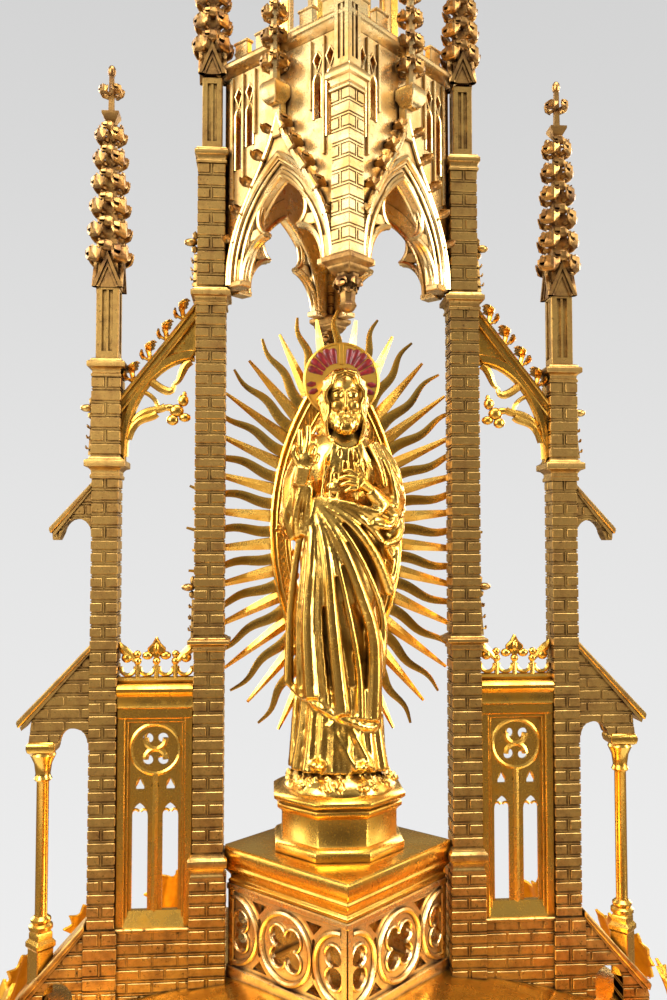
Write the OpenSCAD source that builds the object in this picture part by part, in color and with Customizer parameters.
// Gothic tower monstrance in gilt brass, standing on its own foot.
// Frame: +Z up, front faces -Y, origin on the table under the centre of the foot. Millimetres.

/* [Foot and stem] */
// Reach of the foot's lobes from the axis
foot_r = 118; // [110:1:145]
// Number of lobes round the foot
foot_lobes = 8; // [6:2:10]
// Thickness of the foot plate
foot_plate_t = 4; // [3:0.5:6]
// Height of the pierced gallery on the foot
gallery_h = 9; // [7:0.5:14]
// Height of the bell that rises from the gallery
bell_h = 58; // [48:1:75]
// Wall of the raised sheet metal
sheet = 1.6; // [1.2:0.1:2.4]
// Radius of the octagonal stem
stem_r = 10; // [8.5:0.5:13]
// Length of the stem below the knop
stem_low_h = 40; // [30:1:60]
// Length of the stem above the knop
stem_up_h = 36; // [28:1:55]
// Radius of the knop
knop_r = 29; // [25:1:36]
// Height of the knop
knop_h = 42; // [36:1:50]
// Height of the collars above and below the stem
collar_h = 8; // [6:0.5:12]
// Diameter of the tie rod that holds foot, stem and platform together
rod_d = 6; // [5:0.5:8]

/* [Host storey] */
// Height of the corbel under the platform
corbel_h = 30; // [24:1:40]
// Radius of the platform
platform_r = 96; // [88:1:115]
// Depth of the platform's edge
platform_h = 8; // [7:0.5:12]
// Clear height between the platform and the roof
storey_h = 98; // [94:1:130]
// Width of the four storey piers
storey_pier_w = 9; // [7:0.5:12]
// Outer radius of the lunette ring
luna_r = 42; // [38:0.5:44]
// Width of the lunette ring
luna_band = 8; // [7:0.5:11]
// Depth of the lunette ring
luna_depth = 14; // [12:0.5:18]
// Thickness of the lunette glasses
glass_t = 1.5; // [1:0.1:2.2]
// Diameter of the door's hinge pin
pin_d = 2; // [1.6:0.1:2.6]
// Width of the lunette's foot in its rail
slide_w = 20; // [16:0.5:26]
// Travel of the lunette along its rail
slide_travel = 60; // [40:1:64]

/* [Roof] */
// Radius of the roof's rim
roof_r = 98; // [97:0.5:112]
// Radius of the ball that the roof is raised to
roof_ball = 300; // [260:5:500]
// Number of vine leaves round the rim
leaf_count = 16; // [10:1:20]
// Height of a vine leaf above the rim
leaf_h = 25; // [18:0.5:32]

/* [Towers] */
// Distance of the inner piers from the axis
inner_x = 39; // [37:0.5:44]
// Width of the inner piers
inner_w = 9; // [8:0.25:10]
// Distance of the outer piers from the axis
outer_x = 70; // [66:0.5:74]
// Width of the outer piers
outer_w = 8; // [7:0.25:9]
// Distance of the end piers from the axis
end_x = 90.5; // [88:0.5:92]
// Width of the end piers
end_w = 8.5; // [7:0.25:9]
// Distance of the colonnettes from the axis
column_x = 87.8; // [85:0.2:89]
// Diameter of the colonnettes
column_d = 3.8; // [3:0.1:5]
// Height of the brick plinth above the roof's crown
plinth_top = 13.6; // [10:0.2:18]
// Height of the window's cornice above the roof's crown
window_top = 77.7; // [70:0.5:90]
// Depth of the window tracery
tracery_t = 2; // [1.4:0.1:3]
// Height of the outer piers' lower moulding above the roof's crown
outer_mid = 146.6; // [140:0.5:156]
// Height of the outer piers' gablets above the roof's crown
outer_top = 210.6; // [204:0.5:225]
// Height of the inner piers' gablets above the roof's crown
inner_top = 277.1; // [276:0.5:292]
// Height of the pinnacles
pinnacle_h = 64; // [50:1:80]

/* [Shrine] */
// Half diagonal of the square shrine and canopy, which stand on a corner
shrine_c = 35; // [34:0.5:39]
// Height of the shrine's top above the roof's crown
shrine_top = 36.6; // [32:0.2:44]
// Wall of the shrine and canopy
shrine_wall = 1.6; // [1.2:0.1:2.4]
// Height of the octagonal socle
socle_h = 20.7; // [16:0.1:26]
// Half width of the socle across its flats
socle_r = 17.8; // [15:0.1:20]
// Height of the statue with its mound
statue_h = 125.1; // [115:0.1:130]
// Half width of the rays
glory_w = 46.8; // [40:0.2:52]
// Half height of the rays
glory_h = 70; // [62:0.5:74]
// Radius of the halo
halo_r = 12.1; // [10:0.1:14]
// Height of the canopy's springing above the roof's crown
canopy_low = 205; // [205:0.5:215]
// Height of the canopy's cornice above the roof's crown
canopy_top = 272; // [268:0.5:285]
// Width of the hanging corner piers
pendant_w = 6.5; // [5.5:0.1:8]

/* [Spire] */
// Width of the lantern across its flats
lantern_w = 34; // [28:0.5:40]
// Height of the lantern
lantern_h = 50; // [40:1:65]
// Height of the spire
spire_h = 130; // [100:1:160]
// Height of the cross
cross_h = 38; // [28:1:48]

/* [Fits] */
// Clearance of a sliding or turning fit
slip = 0.3; // [0.2:0.05:0.4]
// Clearance of a glass in its seat
glass_gap = 0.15; // [0.1:0.05:0.3]
// Clearance of a pin or a rod in its hole
pin_gap = 0.1; // [0.08:0.01:0.2]

/* [Hidden] */
$fn = 48;
BALL_FN = 240;

ROOT2 = sqrt(2);
GILT = "#c9922e";
PALE = "#e3bf66";
BRONZE = "#8d6424";
ROBE = "#d9a53c";
GLASS = "#cfdfe2";

// Heights from the table, each stacked on the one before
z_gallery = foot_plate_t;
z_bell = z_gallery + gallery_h;
z_collar1 = z_bell + bell_h;
z_stem1 = z_collar1 + collar_h;
z_knop = z_stem1 + stem_low_h;
z_stem2 = z_knop + knop_h;
z_collar2 = z_stem2 + stem_up_h;
z_corbel = z_collar2 + collar_h;
z_platform = z_corbel + corbel_h;
z_floor = z_platform + platform_h;
z_roof = z_floor + storey_h;
rim_drop = roof_ball - sqrt(roof_ball * roof_ball - roof_r * roof_r);
rim_h = 9;
deck = z_roof + rim_h + rim_drop;
z_luna = z_floor + 50;
z_shrine = deck + shrine_top;
z_socle = z_shrine + socle_h;
z_glory = deck + 131;
z_canopy = deck + canopy_low;
z_cornice = deck + canopy_top;
cornice_h = 3;
z_lantern = z_cornice + cornice_h;
z_spire = z_lantern + lantern_h;
z_knob = z_spire + spire_h;
knob_r = 5;

// Foot
lobe_r = foot_r * 0.322;
lobe_at = foot_r - lobe_r;
neck_r = 14;
bore_r = rod_d / 2 + pin_gap;
flange_t = 4;
nut_h = 5;
washer_t = 1.6;

// Host storey
pier_ring = 84;
pier_angle = 30;
rail_h = 6;
rail_w = slide_w + 6;
rail_front = -16;
rail_back = slide_travel + 24;
lip_t = 1.7;
foot_t = 2.5;
foot_len = 20;
neck_w = 10;
seat_r = luna_r - luna_band + 2;
lip_front = 1.4;
clip_t = 1;
door_t = 3;
door_gap = 0.2;
hinge_x = -(luna_r + 2.5);
hinge_y = luna_depth / 2 + door_gap + door_t / 2;
knuckle_r = pin_d / 2 + 1;
knuckle_h = 5;
hinge_half = 10;

// Roof
flange_in = roof_r - 22;
tang_d = 3;
pier_nut_h = 3;
leaf_t = 0.8;

// Towers
base_bot = 27.9;
base_top = 35.1;
mid_bot = 95.4;
mid_top = 98.9;
cap_bot = 199.6;
cap_top = 204.6;
neck_bot = 243.4;
neck_top = 248.1;
window_in = inner_x + inner_w / 2;
window_out = outer_x - outer_w / 2;
window_mid = (window_in + window_out) / 2;
window_w = window_out - window_in;
plinth_out = 0.8;
cornice_up = 7.2;
slope_run = 19;
slope_fall = 20.4;
outer_face = outer_x + outer_w / 2;
buttress_top = 97;
end_top = 16;

// Shrine and canopy
shrine_flat = shrine_c / ROOT2;
side_cut = inner_x - inner_w / 2;
pendant_y = shrine_c;
hood_t = 2.4;
figure_y = -3;
glory_y = 6.8;
glory_t = 1.4;
mandorla_t = 1.6;

// ---- helpers ----

// Square post of width w on the axis, from z0 to z1
module post(w, z0, z1) translate([-w / 2, -w / 2, z0]) cube([w, w, z1 - z0]);

// Square moulding in three steps round a post of width w
module string_course(w, z0, z1, out) {
    step = (z1 - z0) / 3;
    post(w + out, z0, z0 + step);
    post(w + 2 * out, z0 + step, z0 + 2 * step);
    post(w + out, z0 + 2 * step, z1);
}

// Octagonal prism, r is the half width across flats
module octagon(r, z0, z1) translate([0, 0, z0]) rotate([0, 0, 22.5])
    cylinder(r = r / cos(22.5), h = z1 - z0, $fn = 8);

// Cylinder along Y, centred on the origin of X and Z
module disc_y(r, y0, y1) translate([0, y1, 0]) rotate([90, 0, 0]) cylinder(r = r, h = y1 - y0);

// Flat shape drawn in X and Z, given thickness from y0 to y1
module slab_y(y0, y1) translate([0, y1, 0]) rotate([90, 0, 0]) linear_extrude(y1 - y0) children();

// The four faces of the square that stands on a corner; each child is drawn facing -Y
module four_faces() for (a = [-45, 45, 135, 225]) rotate([0, 0, a]) children();

// Square plate standing on a corner, c is its half diagonal
module diamond(c, z0, z1) rotate([0, 0, 45]) post(c * ROOT2, z0, z1);

// Ball that the roof is raised to, less the given depth below the metal's outer face
module roof_shape(depth = 0) translate([0, 0, deck - roof_ball]) rotate([0, 0, 13])
    sphere(r = roof_ball - depth, $fn = BALL_FN);

// Mirror image for the left side
module left() mirror([1, 0, 0]) children();

// Pointed arch opening: half width w, springing at z0, sides from zb
module pointed_arch(w, zb, z0) {
    translate([-w, zb]) square([2 * w, z0 - zb]);
    intersection() {
        translate([-w, z0]) circle(r = 2 * w);
        translate([w, z0]) circle(r = 2 * w);
        translate([-w, z0]) square([2 * w, 2 * w]);
    }
}

// Crocketed pinnacle, square, standing on z0
module pinnacle(w, z0) {
    tiers = 6;
    pitch = pinnacle_h * 0.113;
    for (a = [0, 90]) rotate([0, 0, a]) slab_y(-w / 2, w / 2)
        polygon([[-w * 0.55, z0], [w * 0.55, z0], [0, z0 + w * 1.4]]);
    translate([0, 0, z0]) rotate([0, 0, 45]) cylinder(d1 = w * 1.2, d2 = 1.6, h = pinnacle_h - 3, $fn = 4);
    for (i = [1:tiers]) translate([0, 0, z0 + i * pitch + 2]) rotate([0, 0, 45]) {
        translate([-w * 0.72 + i * 0.25, -0.8, 0]) cube([w * 1.44 - i * 0.5, 1.6, 2.6]);
        translate([-0.8, -w * 0.72 + i * 0.25, 0]) cube([1.6, w * 1.44 - i * 0.5, 2.6]);
    }
    post(3.6, z0 + pinnacle_h * 0.73, z0 + pinnacle_h * 0.77);
    post(6, z0 + pinnacle_h * 0.87, z0 + pinnacle_h * 0.92);
    post(2.2, z0 + pinnacle_h * 0.92, z0 + pinnacle_h);
}

// ---- foot and stem ----

module lobed(core, reach, z0, z1) {
    translate([0, 0, z0]) cylinder(r = core, h = z1 - z0, $fn = 96);
    for (i = [0:foot_lobes - 1]) rotate([0, 0, (i + 0.5) * 360 / foot_lobes])
        translate([lobe_at, 0, z0]) rotate([0, 0, 180]) cylinder(r = reach, h = z1 - z0);
}

module foot_plate() color(GILT) difference() {
    union() {
        lobed(lobe_at + 6, lobe_r, 0, foot_plate_t * 0.6);
        lobed(lobe_at + 4, lobe_r - 2, foot_plate_t * 0.6, foot_plate_t);
    }
    translate([0, 0, -1]) cylinder(r = lobe_at / 2, h = foot_plate_t + 2);
}

// One pierced band per lobe, meeting its neighbours where the lobes meet
module foot_gallery() color(GILT) for (i = [0:foot_lobes - 1]) rotate([0, 0, (i + 0.5) * 360 / foot_lobes])
    difference() {
        outer = lobe_r - 5;
        near = lobe_at * 0.93;
        far = foot_r + 10;
        slope = tan(180 / foot_lobes);
        intersection() {
            translate([lobe_at, 0, z_gallery]) rotate([0, 0, 180]) difference() {
                cylinder(r = outer, h = gallery_h);
                translate([0, 0, -1]) cylinder(r = outer - sheet, h = gallery_h + 2);
            }
            translate([0, 0, z_gallery - 1]) linear_extrude(gallery_h + 2)
                polygon([[near, -near * slope], [far, -far * slope], [far, far * slope], [near, near * slope]]);
        }
        for (t = [-40:20:40]) translate([lobe_at, 0, z_gallery + gallery_h / 2]) rotate([0, 0, t])
            rotate([0, 90, 0]) translate([0, 0, outer - sheet - 2])
                cylinder(r = gallery_h * 0.3, h = sheet + 4, $fn = 24);
    }

module foot_bell() color(PALE) {
    lip = 2.2;
    top_in = z_collar1 - flange_t;
    difference() {
        union() {
            lobed(lobe_at + 4, lobe_r - 3, z_bell, z_bell + lip);
            rotate_extrude($fn = 96) difference() {
                translate([0, z_bell]) square([lobe_at + 3, bell_h]);
                translate([lobe_at + 3, z_collar1 + 6]) flank_cut(lobe_at + 3 - neck_r, bell_h + 3);
            }
        }
        rotate_extrude($fn = 96) difference() {
            translate([0, z_bell - 1]) square([lobe_at + 3 - sheet, top_in - z_bell + 1]);
            translate([lobe_at + 3, z_collar1 + 6])
                flank_cut(lobe_at + 3 - neck_r + sheet, bell_h + 3 + sheet);
        }
        translate([0, 0, top_in - 1]) cylinder(r = bore_r, h = flange_t + 2);
    }
}

// Region outside a hollow flank: a quarter ellipse of half axes a and b, flaring down, or up where up is -1
module flank_cut(a, b, up = 1) polygon(concat([for (t = [180:6:270]) [a * cos(t), up * b * sin(t)]],
    [[a, -up * b], [a, up * b], [-a, up * b]]));

module lower_collar() color(GILT) difference() {
    union() {
        octagon(neck_r + 2, z_collar1, z_collar1 + collar_h * 0.3);
        octagon(neck_r + 5, z_collar1 + collar_h * 0.3, z_collar1 + collar_h * 0.6);
        octagon(neck_r, z_collar1 + collar_h * 0.6, z_stem1);
    }
    translate([0, 0, z_collar1 - 1]) cylinder(r = bore_r, h = collar_h + 2);
}

// Octagonal shaft with a sunk panel on each face
module shaft(z0, z1) difference() {
    octagon(stem_r, z0, z1);
    for (i = [0:7]) rotate([0, 0, i * 45]) translate([0, -stem_r + 0.8, 0]) slab_y(-2, 0)
        pointed_arch(stem_r * 0.22, z0 + 5, z1 - stem_r * 0.4 - 5);
    translate([0, 0, z0 - 1]) cylinder(r = bore_r, h = z1 - z0 + 2);
}

module lower_stem() color(GILT) shaft(z_stem1, z_knop);

module upper_stem() color(GILT) shaft(z_stem2, z_collar2);

module knop() color(PALE) {
    cap_r = stem_r + 3;
    difference() {
        union() {
            rotate_extrude($fn = 72) intersection() {
                translate([0, z_knop]) square([knop_r, knop_h]);
                translate([0, z_knop + knop_h / 2]) circle(r = knop_r, $fn = 72);
            }
            octagon(cap_r + 2, z_knop, z_knop + 2.5);
            octagon(cap_r + 2, z_stem2 - 2.5, z_stem2);
        }
        translate([0, 0, z_knop - 1]) cylinder(r = bore_r, h = knop_h + 2);
        for (i = [0:7]) rotate([0, 0, i * 45]) translate([knop_r - 4, 0, z_knop + knop_h / 2])
            rotate([45, 0, 0]) cube([12, 10, 10], center = true);
    }
}

module knop_bosses() color(GILT) for (i = [0:7]) rotate([0, 0, i * 45])
    translate([knop_r - 4, 0, z_knop + knop_h / 2]) rotate([45, 0, 0]) {
        translate([-6, -5, -5]) cube([10, 10, 10]);
        translate([4, -3.6, -3.6]) cube([2, 7.2, 7.2]);
    }

module upper_collar() color(GILT) difference() {
    union() {
        octagon(stem_r + 3, z_collar2, z_collar2 + collar_h * 0.4);
        octagon(stem_r + 6, z_collar2 + collar_h * 0.4, z_collar2 + collar_h * 0.7);
        octagon(stem_r + 3, z_collar2 + collar_h * 0.7, z_corbel);
    }
    translate([0, 0, z_collar2 - 1]) cylinder(r = bore_r, h = collar_h + 2);
}

module tie_rod() color("#b08a4a") translate([0, 0, z_collar1 - flange_t - washer_t - nut_h - 4])
    cylinder(d = rod_d, h = z_floor - z_collar1 + flange_t + washer_t + nut_h + 4);

module rod_washer() color("#b08a4a") translate([0, 0, z_collar1 - flange_t - washer_t]) difference() {
    cylinder(r = rod_d, h = washer_t);
    translate([0, 0, -1]) cylinder(r = rod_d / 2 + pin_gap, h = washer_t + 2);
}

module rod_nut() color("#b08a4a") translate([0, 0, z_collar1 - flange_t - washer_t - nut_h])
    difference() {
        cylinder(r = rod_d * 0.95, h = nut_h, $fn = 6);
        translate([0, 0, -1]) cylinder(d = rod_d, h = nut_h + 2);
    }

// ---- host storey ----

module corbel() color(PALE) difference() {
    foot = stem_r + 4;
    rim = platform_r - 34;
    rise = corbel_h - 4;
    rotate_extrude($fn = 96) difference() {
        translate([0, z_corbel]) square([rim, corbel_h]);
        translate([rim, z_corbel]) flank_cut(rim - foot, rise, -1);
    }
    rotate_extrude($fn = 96) difference() {
        translate([bore_r + 4, z_corbel + 6]) square([rim - bore_r - 4 - sheet, corbel_h]);
        translate([rim, z_corbel]) flank_cut(rim - foot + sheet, rise + sheet, -1);
    }
    translate([0, 0, z_corbel - 1]) cylinder(r = bore_r, h = corbel_h + 2);
}

module platform() color(GILT) difference() {
    seat = platform_r - 34;
    union() {
        translate([0, 0, z_platform]) cylinder(r = platform_r - 4, h = platform_h, $fn = 96);
        translate([0, 0, z_platform + platform_h * 0.55])
            cylinder(r = platform_r, h = platform_h * 0.25, $fn = 96);
        translate([0, 0, z_platform + platform_h * 0.8])
            cylinder(r = platform_r - 2, h = platform_h * 0.2, $fn = 96);
    }
    difference() {
        translate([0, 0, z_platform - 1]) cylinder(r = platform_r - 6, h = platform_h - sheet + 1, $fn = 96);
        translate([0, 0, z_platform - 2]) cylinder(r = seat, h = platform_h + 2, $fn = 96);
        at_storey_piers() translate([0, 0, z_platform - 2]) cylinder(r = storey_pier_w / 2, h = platform_h + 2);
    }
    difference() {
        translate([0, 0, z_platform - 1]) cylinder(r = seat - 5, h = platform_h - sheet + 1, $fn = 96);
        translate([0, 0, z_platform - 2]) cylinder(r = rail_w / 2, h = platform_h + 2);
    }
    translate([0, 0, z_platform - 1]) cylinder(d = rod_d, h = platform_h + 2);
    at_storey_piers() translate([0, 0, z_platform - 1]) cylinder(r = tang_d / 2 + pin_gap, h = platform_h + 2);
}

function storey_angles() = [pier_angle, 180 - pier_angle, 180 + pier_angle, 360 - pier_angle];

module at_storey_piers() for (a = storey_angles())
    translate([pier_ring * cos(a), pier_ring * sin(a), 0]) children();

module storey_piers() color(GILT) at_storey_piers() {
    post(storey_pier_w, z_floor, z_roof);
    string_course(storey_pier_w, z_floor, z_floor + 6, 1.5);
    string_course(storey_pier_w, z_roof - 8, z_roof, 1.2);
    string_course(storey_pier_w, z_floor + storey_h * 0.5, z_floor + storey_h * 0.5 + 4, 1);
    translate([0, 0, z_platform - pier_nut_h - 1]) cylinder(d = tang_d, h = platform_h + pier_nut_h + 1);
}

module storey_nuts() color("#b08a4a") at_storey_piers() translate([0, 0, z_platform - pier_nut_h])
    difference() {
        cylinder(r = tang_d * 0.95, h = pier_nut_h, $fn = 6);
        translate([0, 0, -1]) cylinder(d = tang_d, h = pier_nut_h + 2);
    }

// Pierced arch at the front; at the back a plain lintel, so that the door can swing out under it
module storey_arches() color(PALE) {
    y = pier_ring * sin(pier_angle);
    span = pier_ring * cos(pier_angle) - storey_pier_w / 2 - 1.2;
    low = z_roof - 28;
    slab_y(-y - 1, -y + 1) difference() {
        translate([-span, low]) square([2 * span, z_roof - low]);
        translate([0, z_luna - 5]) circle(r = z_roof - z_luna + 2, $fn = 72);
        for (q = [-1, 1]) {
            translate([q * (span + 6 - (z_roof - z_luna) * 0.5), low + 2]) circle(r = 9);
            translate([q * (span - 11), z_roof - 10]) circle(r = 4.5);
        }
    }
    lintel = z_luna + luna_r + 1;
    slab_y(y - 1, y + 1) translate([-span, lintel]) square([2 * span, z_roof - lintel]);
}

module luna_rail() color(BRONZE) difference() {
    translate([-rail_w / 2, rail_front, z_floor]) cube([rail_w, rail_back - rail_front, rail_h]);
    translate([-slide_w / 2 - slip, rail_front + 4, z_floor + rail_h - lip_t - foot_t - 2 * slip])
        cube([slide_w + 2 * slip, rail_back - rail_front, foot_t + 2 * slip]);
    translate([-neck_w / 2 - slip, rail_front + 4, z_floor + rail_h - lip_t - slip])
        cube([neck_w + 2 * slip, rail_back - rail_front, lip_t + 1]);
}

module luna_foot() color(GILT) {
    z0 = z_floor + rail_h - lip_t - foot_t - slip;
    translate([-slide_w / 2, -foot_len / 2, z0]) cube([slide_w, foot_len, foot_t]);
    difference() {
        union() {
            translate([-neck_w / 2, -4, z0 + foot_t - 0.1]) cube([neck_w, 8, z_luna - luna_r + 6 - z0 - foot_t]);
            translate([-8, -5, z_floor + rail_h + slip]) cube([16, 10, 1.6]);
        }
        translate([0, 0, z_luna]) disc_y(luna_r, -8, 8);
    }
}

module luna_ring() color(PALE) {
    half = luna_depth / 2;
    translate([0, 0, z_luna]) difference() {
        union() {
            disc_y(luna_r, -half, half, $fn = 96);
            for (s = [-1, 1]) ring_lug(s);
        }
        disc_y(luna_r - luna_band, -half - 1, half + 1);
        disc_y(seat_r, -half + lip_front, half + 1);
        translate([hinge_x, hinge_y, -hinge_half - 1]) cylinder(r = pin_d / 2, h = 2 * hinge_half + 2);
    }
}

// One of the ring's two hinge knuckles with its arm
module ring_lug(s) translate([hinge_x, 0, s * (hinge_half - knuckle_h / 2) - knuckle_h / 2]) {
    translate([0, hinge_y, 0]) cylinder(r = knuckle_r, h = knuckle_h);
    translate([-knuckle_r, luna_depth / 2 - 4, 0]) cube([knuckle_r * 2, 4, knuckle_h]);
    translate([0, luna_depth / 2 - 4, 0]) cube([4, 4, knuckle_h]);
    translate([-knuckle_r, luna_depth / 2 - 0.1, 0])
        cube([2 * knuckle_r - 0.4, hinge_y - luna_depth / 2, knuckle_h]);
}

module front_glass() color(GLASS, 0.4) translate([0, 0, z_luna])
    disc_y(seat_r - glass_gap, -luna_depth / 2 + lip_front, -luna_depth / 2 + lip_front + glass_t);

module glass_clip() color(BRONZE) translate([0, 0, z_luna]) difference() {
    y0 = -luna_depth / 2 + lip_front + glass_t;
    disc_y(seat_r, y0, y0 + clip_t);
    disc_y(seat_r - 1.5, y0 - 1, y0 + clip_t + 1);
    translate([-3, y0 - 1, 0]) cube([6, clip_t + 2, seat_r + 1]);
}

module host_clip() color(PALE) translate([0, 0, z_luna]) intersection() {
    disc_y(seat_r, -3, 4);
    union() {
        difference() {
            disc_y(seat_r - 8, -0.6, 2.6);
            disc_y(seat_r - 11, -2, 4);
            disc_y(seat_r - 9, 0.4, 1.6);
            translate([-seat_r, -2, -seat_r * 0.3]) cube([2 * seat_r, 8, 2 * seat_r]);
        }
        translate([-3, -0.6, -seat_r - 1]) cube([6, 3.2, 10.4]);
    }
}

module door_ring() color(PALE) {
    y0 = luna_depth / 2 + door_gap;
    translate([0, 0, z_luna]) difference() {
        union() {
            disc_y(luna_r, y0, y0 + door_t, $fn = 96);
            translate([hinge_x, hinge_y, -hinge_half + knuckle_h + slip])
                cylinder(r = knuckle_r, h = 2 * (hinge_half - knuckle_h - slip));
            translate([hinge_x, hinge_y - 1, -hinge_half + knuckle_h + slip])
                cube([5, 2, 2 * (hinge_half - knuckle_h - slip)]);
        }
        disc_y(luna_r - luna_band, y0 - 1, y0 + door_t + 1);
        disc_y(seat_r, y0 - 1, y0 + glass_t);
        translate([hinge_x, hinge_y, -hinge_half]) cylinder(r = pin_d / 2 + pin_gap, h = 2 * hinge_half);
    }
}

module door_glass() color(GLASS, 0.4) translate([0, 0, z_luna])
    disc_y(seat_r - glass_gap, luna_depth / 2 + door_gap, luna_depth / 2 + door_gap + glass_t);

module door_pin() color(BRONZE) translate([hinge_x, hinge_y, z_luna - hinge_half]) {
    cylinder(d = pin_d, h = 2 * hinge_half);
    translate([0, 0, 2 * hinge_half]) cylinder(r = pin_d, h = 1.2);
}

module door_knob() color(GILT)
    translate([luna_r - luna_band / 2, luna_depth / 2 + door_gap + door_t, z_luna]) {
        disc_y(1.2, 0, 3);
        translate([0, 4.6, 0]) sphere(r = 2.4, $fn = 32);
    }

// ---- roof ----

module dome_roof() color(GILT) difference() {
    union() {
        intersection() {
            translate([0, 0, z_roof]) cylinder(r = roof_r, h = deck - z_roof + 1, $fn = 120);
            roof_shape();
        }
        translate([0, 0, z_roof]) cylinder(r = roof_r + 1, h = 1.5, $fn = 120);
        translate([0, 0, z_roof + rim_h - 2.5]) cylinder(r = roof_r + 1, h = 1.5, $fn = 120);
    }
    intersection() {
        translate([0, 0, z_roof + sheet]) cylinder(r = roof_r - sheet, h = deck, $fn = 120);
        roof_shape(sheet);
    }
    translate([0, 0, z_roof - 1]) cylinder(r = flange_in, h = sheet + 2, $fn = 96);
    for (x = [-outer_x, -inner_x, inner_x, outer_x]) translate([x, 0, z_roof])
        cylinder(r = tang_d / 2 + pin_gap, h = deck);
}

module roof_nuts() color("#b08a4a") for (x = [-outer_x, -inner_x, inner_x, outer_x]) {
    top = deck - x * x / (2 * roof_ball);
    difference() {
        intersection() {
            translate([x, 0, top - sheet - pier_nut_h - 0.5]) cylinder(r = tang_d, h = 12, $fn = 6);
            roof_shape(sheet);
        }
        translate([x, 0, top - 20]) cylinder(d = tang_d, h = 40);
    }
}

// Threaded tang under a pier at x, through the roof and its nut
module tang(x) translate([x, 0, deck - x * x / (2 * roof_ball) - sheet - pier_nut_h - 1.5])
    cylinder(d = tang_d, h = 12);

// Vine leaf as a flat outline: five lobes on a short stalk
module leaf_outline() {
    s = leaf_h / 25;
    translate([0, 9 * s]) circle(r = 6.5 * s, $fn = 24);
    translate([0, 19 * s]) circle(r = 4.5 * s, $fn = 24);
    for (q = [-1, 1]) {
        translate([q * 7 * s, 13 * s]) circle(r = 4.3 * s, $fn = 24);
        translate([q * 6.5 * s, 5.5 * s]) circle(r = 3.6 * s, $fn = 24);
    }
    translate([-2, -4]) square([4, 8]);
}

module leaf_crown() color(GILT) for (i = [0:leaf_count - 1]) rotate([0, 0, (i + 0.5) * 360 / leaf_count - 90])
    difference() {
        translate([0, -roof_r - 1.4, z_roof + rim_h - 5])
            rotate([12, 0, 0]) slab_y(-leaf_t, 0.6) leaf_outline();
        translate([0, 0, z_roof - 1]) cylinder(r = roof_r + 1, h = 60, $fn = 120);
    }

// ---- shrine and statue ----

// Room that the inner piers take up beside the shrine and the canopy
module pier_room() for (s = [0, 180]) rotate([0, 0, s]) {
    translate([side_cut, -20, deck - 20]) cube([40, 40, 20 + mid_top]);
    translate([side_cut - plinth_out, -20, deck - 20]) cube([10, 40, 20 + base_top]);
    translate([side_cut + 0.3, -20, deck + cap_top - 1]) cube([40, 40, 100]);
    translate([side_cut + 0.3 - 0.8, -20, deck + neck_bot]) cube([10, 40, neck_top - neck_bot]);
}

module shrine_frieze() color(PALE) difference() {
    c = shrine_c - 2.5;
    flat = c / ROOT2;
    low = deck - 8;
    high = z_shrine - 11.7;
    mid = (deck - 2 + high) / 2;
    union() {
        difference() {
            diamond(c, low, high);
            diamond(c - shrine_wall * ROOT2, low - 1, high + 1);
            four_faces() translate([0, -flat, mid]) {
                for (t = [0:90:270]) rotate([0, t, 0]) translate([0, 0, 4.2]) disc_y(2.7, -2, 3);
                disc_y(2.4, -2, 3);
            }
            four_faces() for (x = [-1, 1], z = [-1, 1]) translate([x * flat / 2, -flat, mid + z * 7.6])
                disc_y(1.7, -2, 3);
        }
        for (s = [-1, 1]) translate([s * (side_cut - plinth_out - 1.6), 0, 0]) post(3.2, low, high);
        for (s = [-1, 1]) translate([0, s * (c - 3.4), 0]) rotate([0, 0, 45]) post(4, low, high);
    }
    roof_shape();
    pier_room();
}

module shrine_top_plate() color(GILT) difference() {
    union() {
        diamond(shrine_c - 2, z_shrine - 11.7, z_shrine - 8);
        diamond(shrine_c - 0.6, z_shrine - 8, z_shrine - 4);
        diamond(shrine_c + 0.4, z_shrine - 4, z_shrine);
    }
    diamond(shrine_c - 6, z_shrine - 12, z_shrine - 2.5);
    translate([0, 0, z_shrine - 5]) cylinder(r = 2 + pin_gap, h = 10);
    pier_room();
}

module socle() color(GILT) difference() {
    union() {
        octagon(socle_r + 1.2, z_shrine, z_shrine + 3);
        octagon(socle_r - 0.8, z_shrine + 3, z_socle - 5.7);
        octagon(socle_r + 0.6, z_socle - 5.7, z_socle - 3.4);
        octagon(socle_r + 1.6, z_socle - 3.4, z_socle - 1.4);
        octagon(socle_r, z_socle - 1.4, z_socle);
    }
    octagon(socle_r - 2.6, z_shrine - 1, z_socle - 4);
    translate([0, 0, z_socle - 6]) cylinder(r = 2 + pin_gap, h = 10);
    translate([-2, glory_y - 0.1, z_socle - 5]) cube([4, glory_t + 0.2, 10]);
}

// Ellipse-like slice used to build up the draped figure
module slice(x, y, z, rx, ry) translate([x, figure_y + y, z]) scale([rx, ry, 1])
    cylinder(r = 1, h = 0.6, $fn = 32);

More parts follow.
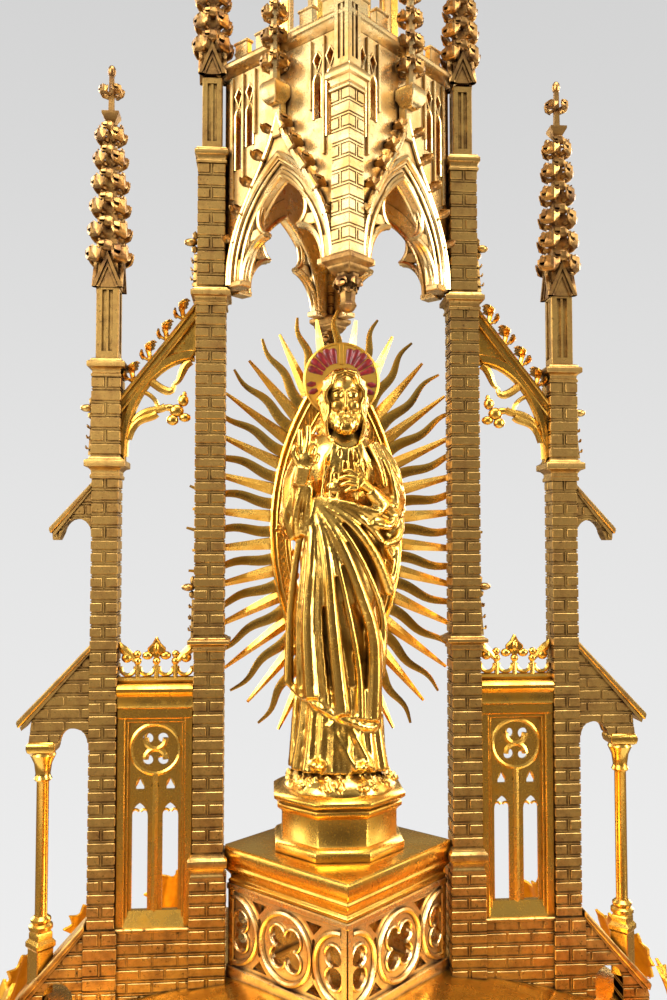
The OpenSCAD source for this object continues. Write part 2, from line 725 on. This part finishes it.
module statue() color(ROBE) {
    s = statue_h / 125.1;
    difference() {
        union() {
            translate([0, figure_y * 0.5, z_socle]) cylinder(r = socle_r - 3.4, h = 3);
            translate([0, figure_y * 0.5, z_socle + 3]) cylinder(r = socle_r - 5, h = 1.8);
            hull() {
                slice(0, 0, z_socle + 4.3, 12 * s, 7.5 * s);
                slice(0.5, 0, z_socle + 34 * s, 11 * s, 7 * s);
            }
            hull() {
                slice(0.5, 0, z_socle + 33 * s, 12.5 * s, 7.6 * s);
                slice(1, 0, z_socle + 82 * s, 16 * s, 7.6 * s);
                slice(1, 0.5, z_socle + 98 * s, 14 * s, 6 * s);
            }
            hull() {
                slice(1, 0.5, z_socle + 98 * s, 13.5 * s, 6 * s);
                slice(1, 0.5, z_socle + 104 * s, 5 * s, 4.5 * s);
            }
            hull() {
                slice(1, -0.5, z_socle + 103 * s, 5.2 * s, 5 * s);
                slice(1.5, -1, z_socle + 114 * s, 7.6 * s, 7 * s);
                slice(1.5, -1, z_socle + statue_h - 0.6, 3 * s, 3 * s);
            }
            hull() {
                translate([-13 * s, figure_y - 4, z_socle + 77 * s]) sphere(r = 4.4 * s, $fn = 24);
                translate([-10 * s, figure_y - 10, z_socle + 98 * s]) sphere(r = 3 * s, $fn = 24);
            }
            hull() {
                translate([15 * s, figure_y - 3, z_socle + 76 * s]) sphere(r = 4.4 * s, $fn = 24);
                translate([3 * s, figure_y - 8.5, z_socle + 84 * s]) sphere(r = 3 * s, $fn = 24);
            }
        }
        translate([0, 0, z_socle - 1]) cylinder(r = 2, h = 9);
        translate([-30, glory_y - mandorla_t, z_socle - 1]) cube([60, 20, statue_h + 2]);
    }
}

module statue_screw() color("#b08a4a") {
    translate([0, 0, z_shrine - 4.5]) cylinder(r = 2, h = z_socle + 7 - z_shrine + 4.5);
    translate([0, 0, z_shrine - 4.5]) cylinder(r = 3.8, h = 2, $fn = 6);
}

module halo() color(GILT) {
    z = z_socle + statue_h * 0.965;
    translate([1.5, 0, z]) disc_y(halo_r, glory_y - mandorla_t - 0.9, glory_y - mandorla_t);
}

// Pointed oval: half width w, half height h, about the glory's centre
module vesica(w, h) {
    r = (w * w + h * h) / (2 * w);
    intersection() {
        translate([w - r, z_glory]) circle(r = r, $fn = 96);
        translate([r - w, z_glory]) circle(r = r, $fn = 96);
    }
}

mandorla_w = 20.6;
mandorla_h = 56;

module mandorla() color(PALE) {
    slab_y(glory_y - mandorla_t, glory_y) difference() {
        vesica(mandorla_w, mandorla_h);
        vesica(mandorla_w - 6, mandorla_h - 15);
    }
    for (s = [-1, 1]) translate([s * (mandorla_w - 3), 0, z_glory]) disc_y(1.6, glory_y - mandorla_t - 0.8,
        glory_y - mandorla_t);
}

// Length of a ray at angle t, so that the tips lie on an oval
function ray_reach(t) = 1 / sqrt(pow(cos(t) / glory_w, 2) + pow(sin(t) / glory_h, 2));

// Distance from the centre to the edge of the pointed oval at angle t
function vesica_reach(w, h, t) = let(r = (w * w + h * h) / (2 * w), k = (r - w) * abs(cos(t)))
    sqrt(k * k + r * r - (r - w) * (r - w)) - k;

// One ray of the glory, drawn from its root on the ring's outline to its blunt tip
function ray_outline(w, h, t) =
    let(u = [cos(t), sin(t)], n = [-sin(t), cos(t)], root = vesica_reach(w, h, t) - 0.3)
    [root * u - 1.4 * n, ray_reach(t) * u - 0.4 * n, ray_reach(t) * u + 0.4 * n, root * u + 1.4 * n];

module ray_glory() color(GILT) {
    rays = 32;
    ring_w = mandorla_w - 0.5;
    ring_h = mandorla_h - 1;
    step = 360 / rays;
    foot = z_socle - 3 - z_glory;
    stalk = [[-2, 2 - ring_h], [-2, foot], [2, foot], [2, 2 - ring_h]];
    rim = [for (i = [0:rays - 1])
        each concat(i == 3 * rays / 4 ? stalk : [], ray_outline(ring_w, ring_h, (i + 0.5) * step))];
    hole = [for (i = [0:2 * rays - 1])
        let(t = i * step / 2) vesica_reach(ring_w - 4.5, ring_h - 12, t) * [cos(t), sin(t)]];
    translate([0, 0, z_glory]) difference() {
        slab_y(glory_y, glory_y + glory_t) polygon(rim);
        slab_y(glory_y - 1, glory_y + glory_t + 1) polygon(hole);
    }
}

// ---- towers ----

// The inner pier's stages below its pinnacle
module inner_stages(x) translate([x, 0, 0]) {
    post(inner_w, deck - 12, deck + cap_top);
    post(inner_w + 2 * plinth_out, deck - 12, deck + base_bot);
    string_course(inner_w, deck + base_bot, deck + base_top, plinth_out);
    string_course(inner_w, deck + mid_bot, deck + mid_top, 1.5);
    string_course(inner_w, deck + cap_bot, deck + cap_top, 1.3);
    post(inner_w - 0.6, deck + cap_top - 1, deck + neck_top);
    string_course(inner_w - 0.6, deck + neck_bot, deck + neck_top, 0.8);
    post(inner_w - 3.2, deck, deck + inner_top + 0.5);
}

// The outer pier's stages below its pinnacle
module outer_stages(x) translate([x, 0, 0]) {
    post(outer_w, deck - 16, deck + outer_mid);
    post(outer_w + 2 * plinth_out, deck - 16, deck + plinth_top);
    string_course(outer_w, deck + outer_mid, deck + outer_mid + 6.1, 1.4);
    post(outer_w + 0.7, deck + outer_mid + 6, deck + outer_mid + 30.5);
    string_course(outer_w, deck + outer_mid + 30.5, deck + outer_mid + 35.9, 1.2);
    post(outer_w - 1.3, deck, deck + outer_top + 0.5);
}

// A pier standing on the roof with its pinnacle above and its threaded tang below
module pier(x, w, top) {
    difference() {
        union() {
            children();
            translate([x, 0, 0]) pinnacle(w, deck + top);
        }
        roof_shape();
    }
    difference() {
        tang(x);
        translate([x, 0, deck - x * x / (2 * roof_ball) + 4]) cylinder(d = 20, h = 40);
    }
}

module inner_pier() pier(inner_x, inner_w - 2.4, inner_top) inner_stages(inner_x);

module outer_pier() pier(outer_x, outer_w - 0.8, outer_top) outer_stages(outer_x);

module inner_pier_left() color(GILT) left() inner_pier();

module inner_pier_right() color(GILT) inner_pier();

module outer_pier_left() color(GILT) left() outer_pier();

module outer_pier_right() color(GILT) outer_pier();

// Two-light traceried window on its brick plinth, between the piers
module window() difference() {
    sill = deck + plinth_top;
    head = deck + window_top;
    light = window_w * 0.19;
    eye = head - 12.5;
    union() {
        translate([window_in, -outer_w / 2 + 0.4, deck - 14]) cube([window_w, outer_w - 0.8, plinth_top + 14]);
        slab_y(-tracery_t / 2, tracery_t / 2) difference() {
            translate([window_in, sill]) square([window_w, head - sill]);
            for (s = [-1, 1]) {
                translate([window_mid + s * 4.2, 0]) pointed_arch(light / 2, sill + 5, eye - 15.5 - light);
                translate([window_mid + s * 4.2, eye - 11]) circle(r = 1.5, $fn = 20);
            }
            for (t = [45:90:315]) translate([window_mid + 3.8 * cos(t), eye + 3.8 * sin(t)])
                circle(r = 1.5, $fn = 20);
        }
        slab_y(-outer_w / 2 + 1, outer_w / 2 - 1) difference() {
            translate([window_in, sill - 1]) square([window_w, head - sill + 2]);
            translate([window_in + 3, sill + 1]) square([window_w - 4.6, head - sill - 3]);
        }
        translate([window_in, -outer_w / 2, head]) cube([window_w, outer_w, cornice_up]);
    }
    roof_shape();
    inner_stages(inner_x);
    outer_stages(outer_x);
}

module window_left() color(PALE) left() window();

module window_right() color(PALE) window();

module cresting() color(GILT) for (s = [0, 1]) mirror([s, 0, 0]) difference() {
    slab_y(-1, 1) crest_outline(deck + window_top + cornice_up);
    inner_stages(inner_x);
}

// Pierced band with a pointed crest over the window
module crest_outline(z0) {
    difference() {
        translate([window_in, z0]) square([window_w, 7]);
        for (i = [0:3]) translate([window_in + (i + 0.5) * window_w / 4, z0 + 3.4]) circle(r = 1.9, $fn = 20);
    }
    translate([window_mid, z0 + 8]) rotate(45) square([7, 7], center = true);
    for (q = [-1, 1]) translate([window_mid + q * window_w * 0.36, z0 + 7]) rotate(45)
        square([3.4, 3.4], center = true);
}

// Flying buttress with a cusped underside and a hanging leaf
module flyer() difference() {
    span = window_w;
    high = deck + 195.3;
    fall = span * 1.29;
    union() {
        slab_y(-1.6, 1.6) {
            intersection() {
                polygon([[window_in, high + 0.5], [window_out, high + 0.5 - fall],
                    [window_out, high - fall - 18], [window_in, high - 17]]);
                difference() {
                    translate([window_in, high - 60]) square([span, 80]);
                    translate([window_in, high - 17 - span * 0.9]) circle(r = span * 0.9, $fn = 64);
                }
            }
            translate([window_mid - 1.8, high - fall - 4]) circle(r = 3.2, $fn = 20);
            translate([window_mid - 3, high - fall - 2]) square([3.4, 12]);
        }
        slab_y(-2.6, 2.6) polygon([[window_in, high], [window_in, high + 2.6], [window_out, high + 2.6 - fall],
            [window_out, high - fall]]);
    }
    inner_stages(inner_x);
    outer_stages(outer_x);
}

module flyer_left() color(GILT) left() flyer();

module flyer_right() color(GILT) flyer();

// Wedge below a weathering that falls outward from height z at the outer pier
module weathering(z, thick) {
    out = outer_face + slope_run + 2;
    fall = slope_fall * (out - outer_face) / slope_run;
    polygon([[outer_face, z], [out, z - fall], [out, z - fall - thick], [outer_face, z - thick]]);
}

// Sloping buttress with a small arch and a hanging capital, and the hooked bracket above it
module buttress() {
    z = deck + buttress_top;
    hook = deck + outer_mid - 1;
    cap = deck + 68;
    slab_y(-4, 4) weathering(z, 4.2);
    slab_y(-3, 3) difference() {
        polygon([[outer_face, z - 3], [outer_face + slope_run - 3, z - 3 - slope_fall], [column_x + 4, cap],
            [column_x - 4, cap], [outer_face, cap]]);
        translate([outer_face + 5.2, cap]) circle(r = 4.2, $fn = 32);
        translate([outer_face - 1, cap - 1]) square([10.4, 1]);
    }
    translate([column_x, 0, 0]) {
        post(7.4, cap - 2.6, cap);
        translate([0, 0, cap - 9.1]) cylinder(d1 = column_d + 1.2, d2 = 6.6, h = 6.5);
    }
    slab_y(-3, 3) difference() {
        polygon([[outer_face, hook], [outer_face + 12, hook - 13.5], [outer_face + 12, hook - 18],
            [outer_face + 9, hook - 18], [outer_face + 9, hook - 14], [outer_face, hook - 14]]);
        translate([outer_face + 4.6, hook - 14]) circle(r = 3.2, $fn = 32);
    }
}

module buttress_left() color(GILT) left() buttress();

module buttress_right() color(GILT) buttress();

module colonnettes() color(PALE) for (s = [0, 1]) mirror([s, 0, 0]) {
    cap = deck + 68 - 9.1;
    foot = deck + 13.4;
    translate([column_x, 0, 0]) {
        translate([0, 0, foot]) cylinder(d = column_d, h = cap - foot);
        translate([0, 0, foot]) cylinder(d = 6.6, h = 3.2);
    }
    difference() {
        translate([column_x, 0, 0]) rotate([0, 0, 45]) post(5, deck - 4, foot);
        slab_y(-8, 8) weathering(deck + end_top, 30);
    }
}

module end_piers() color(GILT) for (s = [0, 1]) mirror([s, 0, 0]) difference() {
    union() {
        slab_y(-4.6, 4.6) weathering(deck + end_top, 4.4);
        slab_y(-end_w / 2, end_w / 2) difference() {
            polygon([[outer_face + plinth_out, deck + end_top - 3.5], [end_x + end_w / 2, deck - 6],
                [end_x + end_w / 2, deck - 24], [outer_face + plinth_out, deck - 24]]);
            translate([end_x - end_w, deck - 5]) circle(r = 4.3, $fn = 32);
            translate([end_x - end_w - 4.3, deck - 25]) square([8.6, 20]);
        }
    }
    roof_shape();
    outer_stages(outer_x);
}

// ---- canopy ----

// The square hanging piers at the canopy's front and back corners, as plain prisms
module hanging_prisms() for (s = [-1, 1]) translate([0, s * pendant_y, 0]) rotate([0, 0, 45])
    post(pendant_w, z_canopy - 4, z_cornice + cornice_h + 12);

// Opening of one canopy face: three lobes under a point
module trefoil_arch(w) {
    z = z_canopy;
    difference() {
        pointed_arch(w, z - 20, z + 1);
        for (q = [-1, 1]) polygon([[q * w * 0.98, z + 2], [q * w * 0.36, z + w * 0.62],
            [q * w * 0.72, z + w * 1.3], [q * w * 1.1, z + w]]);
    }
}

module canopy_walls() color(PALE) difference() {
    union() {
        four_faces() translate([0, -shrine_flat, 0]) slab_y(0, shrine_wall) difference() {
            translate([-shrine_flat, z_canopy]) square([2 * shrine_flat, z_cornice - z_canopy]);
            trefoil_arch(17.8);
            for (q = [-1, 1]) {
                translate([q * 19, 0]) pointed_arch(1, z_cornice - 31, z_cornice - 13);
                translate([q * 14, 0]) pointed_arch(1, z_cornice - 25, z_cornice - 13);
                for (x = [14, 19]) translate([q * x, z_cornice - 7]) circle(r = 1.2, $fn = 20);
            }
        }
        for (s = [-1, 1]) translate([s * (side_cut + 0.3 - 2), 0, 0]) post(4, z_canopy, z_cornice);
    }
    hanging_prisms();
    pier_room();
}

// Ogee hood mould with its finial on each face of the canopy
module ogee_hoods() color(GILT) difference() {
    four_faces() translate([0, -shrine_flat, 0]) {
        slab_y(-hood_t, 0) difference() {
            union() {
                intersection() {
                    translate([0, z_canopy]) pointed_arch(20.8, -3, 0);
                    translate([-30, z_canopy]) square([60, 60]);
                }
                polygon([[-7, z_canopy + 28], [7, z_canopy + 28], [1.6, z_canopy + 43], [1.6, z_canopy + 49],
                    [-1.6, z_canopy + 49], [-1.6, z_canopy + 43]]);
            }
            trefoil_arch(17.8);
        }
        translate([0, -hood_t - 0.6, 0]) post(6.5, z_canopy + 49, z_canopy + 55);
        translate([0, -hood_t - 0.6, 0]) post(3, z_canopy + 55, z_canopy + 92);
        for (z = [62, 74, 86]) translate([0, -hood_t - 0.6, z_canopy + z]) {
            translate([-5, -1, 0]) cube([10, 2, 4]);
            translate([-1, -5, 0]) cube([2, 5, 4]);
        }
    }
    four_faces() translate([-30, -shrine_flat, z_cornice - 20]) cube([60, 20, 80]);
    four_faces() translate([-30, -shrine_flat - 1.8, z_cornice]) cube([60, 20, cornice_h]);
    hanging_prisms();
    pier_room();
}

module hanging_piers() color(PALE) for (s = [-1, 1]) translate([0, s * pendant_y, 0]) {
    rotate([0, 0, 45]) {
        post(pendant_w, z_canopy, z_canopy + 46.2);
        post(pendant_w + 3.6, z_canopy - 2.2, z_canopy);
        post(pendant_w + 1.4, z_canopy - 4.8, z_canopy - 2.2);
        post(pendant_w, z_canopy + 46.2, z_canopy + 52.7);
        post(pendant_w - 1.1, z_canopy + 52.7, z_cornice + 12);
        pinnacle(pendant_w - 0.8, z_cornice + 12);
    }
    translate([0, 0, z_canopy - 12.6]) cylinder(r = 3.4, h = 9, $fn = 32);
    translate([0, 0, z_canopy - 15.2]) cylinder(d1 = 2, d2 = 5, h = 2.7);
}

module canopy_ceiling() color(BRONZE) difference() {
    union() {
        diamond(shrine_c - shrine_wall * ROOT2, z_cornice - 8, z_cornice - 6.4);
        for (a = [45, 135]) rotate([0, 0, a]) translate([-22, -0.8, z_cornice - 10]) cube([44, 1.6, 2]);
        translate([0, 0, z_cornice - 13]) cylinder(r = 4, h = 5);
    }
    hanging_prisms();
    for (s = [-1, 1]) translate([s * (side_cut + 0.3 - 2), 0, 0]) post(4, z_canopy, z_cornice);
    pier_room();
}

module parapet() color(GILT) difference() {
    union() {
        diamond(shrine_c + 2.4, z_cornice, z_lantern);
        four_faces() for (x = [-18:9:18]) translate([x - 2.6, -shrine_flat, z_lantern]) cube([5.2, 2, 6]);
    }
    diamond(6, z_cornice - 1, z_lantern + 1);
    for (s = [-1, 1]) translate([0, s * pendant_y, 0]) rotate([0, 0, 45])
        post(pendant_w - 1.1, z_cornice - 1, z_lantern + 10);
    pier_room();
}

// ---- spire ----

module lantern() color(PALE) {
    half = lantern_w / 2;
    difference() {
        union() {
            octagon(half, z_lantern, z_spire);
            octagon(half + 1.5, z_lantern, z_lantern + 3);
            octagon(half + 1.5, z_spire - 4, z_spire - 1.5);
        }
        octagon(half - shrine_wall, z_lantern - 1, z_spire - 3);
        for (a = [0, 45, 90, 135]) rotate([0, 0, a]) slab_y(-half - 3, half + 3)
            pointed_arch(half * 0.27, z_lantern + 8, z_spire - 16);
    }
}

module spire() color(GILT) difference() {
    union() {
        translate([0, 0, z_spire]) rotate([0, 0, 22.5])
            cylinder(r1 = lantern_w / 2 - 1, r2 = 2, h = spire_h, $fn = 8);
        for (z = [0.32, 0.62]) translate([0, 0, z_spire + spire_h * z])
            octagon((lantern_w / 2 - 1) * (1 - z) + 1.6, 0, 2);
    }
    translate([0, 0, z_spire - 0.01]) rotate([0, 0, 22.5])
        cylinder(r1 = lantern_w / 2 - 1 - 2 * sheet, r2 = 0.5, h = spire_h * 0.8, $fn = 8);
}

module finial_knob() color(PALE) translate([0, 0, z_knob]) intersection() {
    translate([0, 0, knob_r * 0.8]) sphere(r = knob_r, $fn = 48);
    cylinder(r = knob_r + 1, h = knob_r * 1.6);
}

module cross() color(PALE) {
    z0 = z_knob + knob_r * 1.6;
    arm = cross_h * 0.36;
    mid = z0 + cross_h - arm;
    translate([-2, -1.25, z0]) cube([4, 2.5, cross_h - 3]);
    translate([-arm + 3, -1.25, mid - 2]) cube([2 * arm - 6, 2.5, 4]);
    for (p = [[-arm + 3, mid], [arm - 3, mid], [0, z0 + cross_h - 3]]) translate([p[0], 0, p[1]])
        disc_y(3, -1.25, 1.25, $fn = 24);
    translate([0, 0, mid]) disc_y(5, -0.9, 0.9, $fn = 32);
}

foot_plate();
foot_gallery();
foot_bell();
lower_collar();
lower_stem();
knop();
knop_bosses();
upper_stem();
upper_collar();
tie_rod();
rod_washer();
rod_nut();
corbel();
platform();
storey_piers();
storey_nuts();
storey_arches();
luna_rail();
luna_foot();
luna_ring();
front_glass();
glass_clip();
host_clip();
door_ring();
door_glass();
door_pin();
door_knob();
dome_roof();
roof_nuts();
leaf_crown();
shrine_frieze();
shrine_top_plate();
socle();
statue();
statue_screw();
halo();
mandorla();
ray_glory();
inner_pier_left();
inner_pier_right();
outer_pier_left();
outer_pier_right();
window_left();
window_right();
cresting();
flyer_left();
flyer_right();
buttress_left();
buttress_right();
colonnettes();
end_piers();
canopy_walls();
ogee_hoods();
hanging_piers();
canopy_ceiling();
parapet();
lantern();
spire();
finial_knob();
cross();
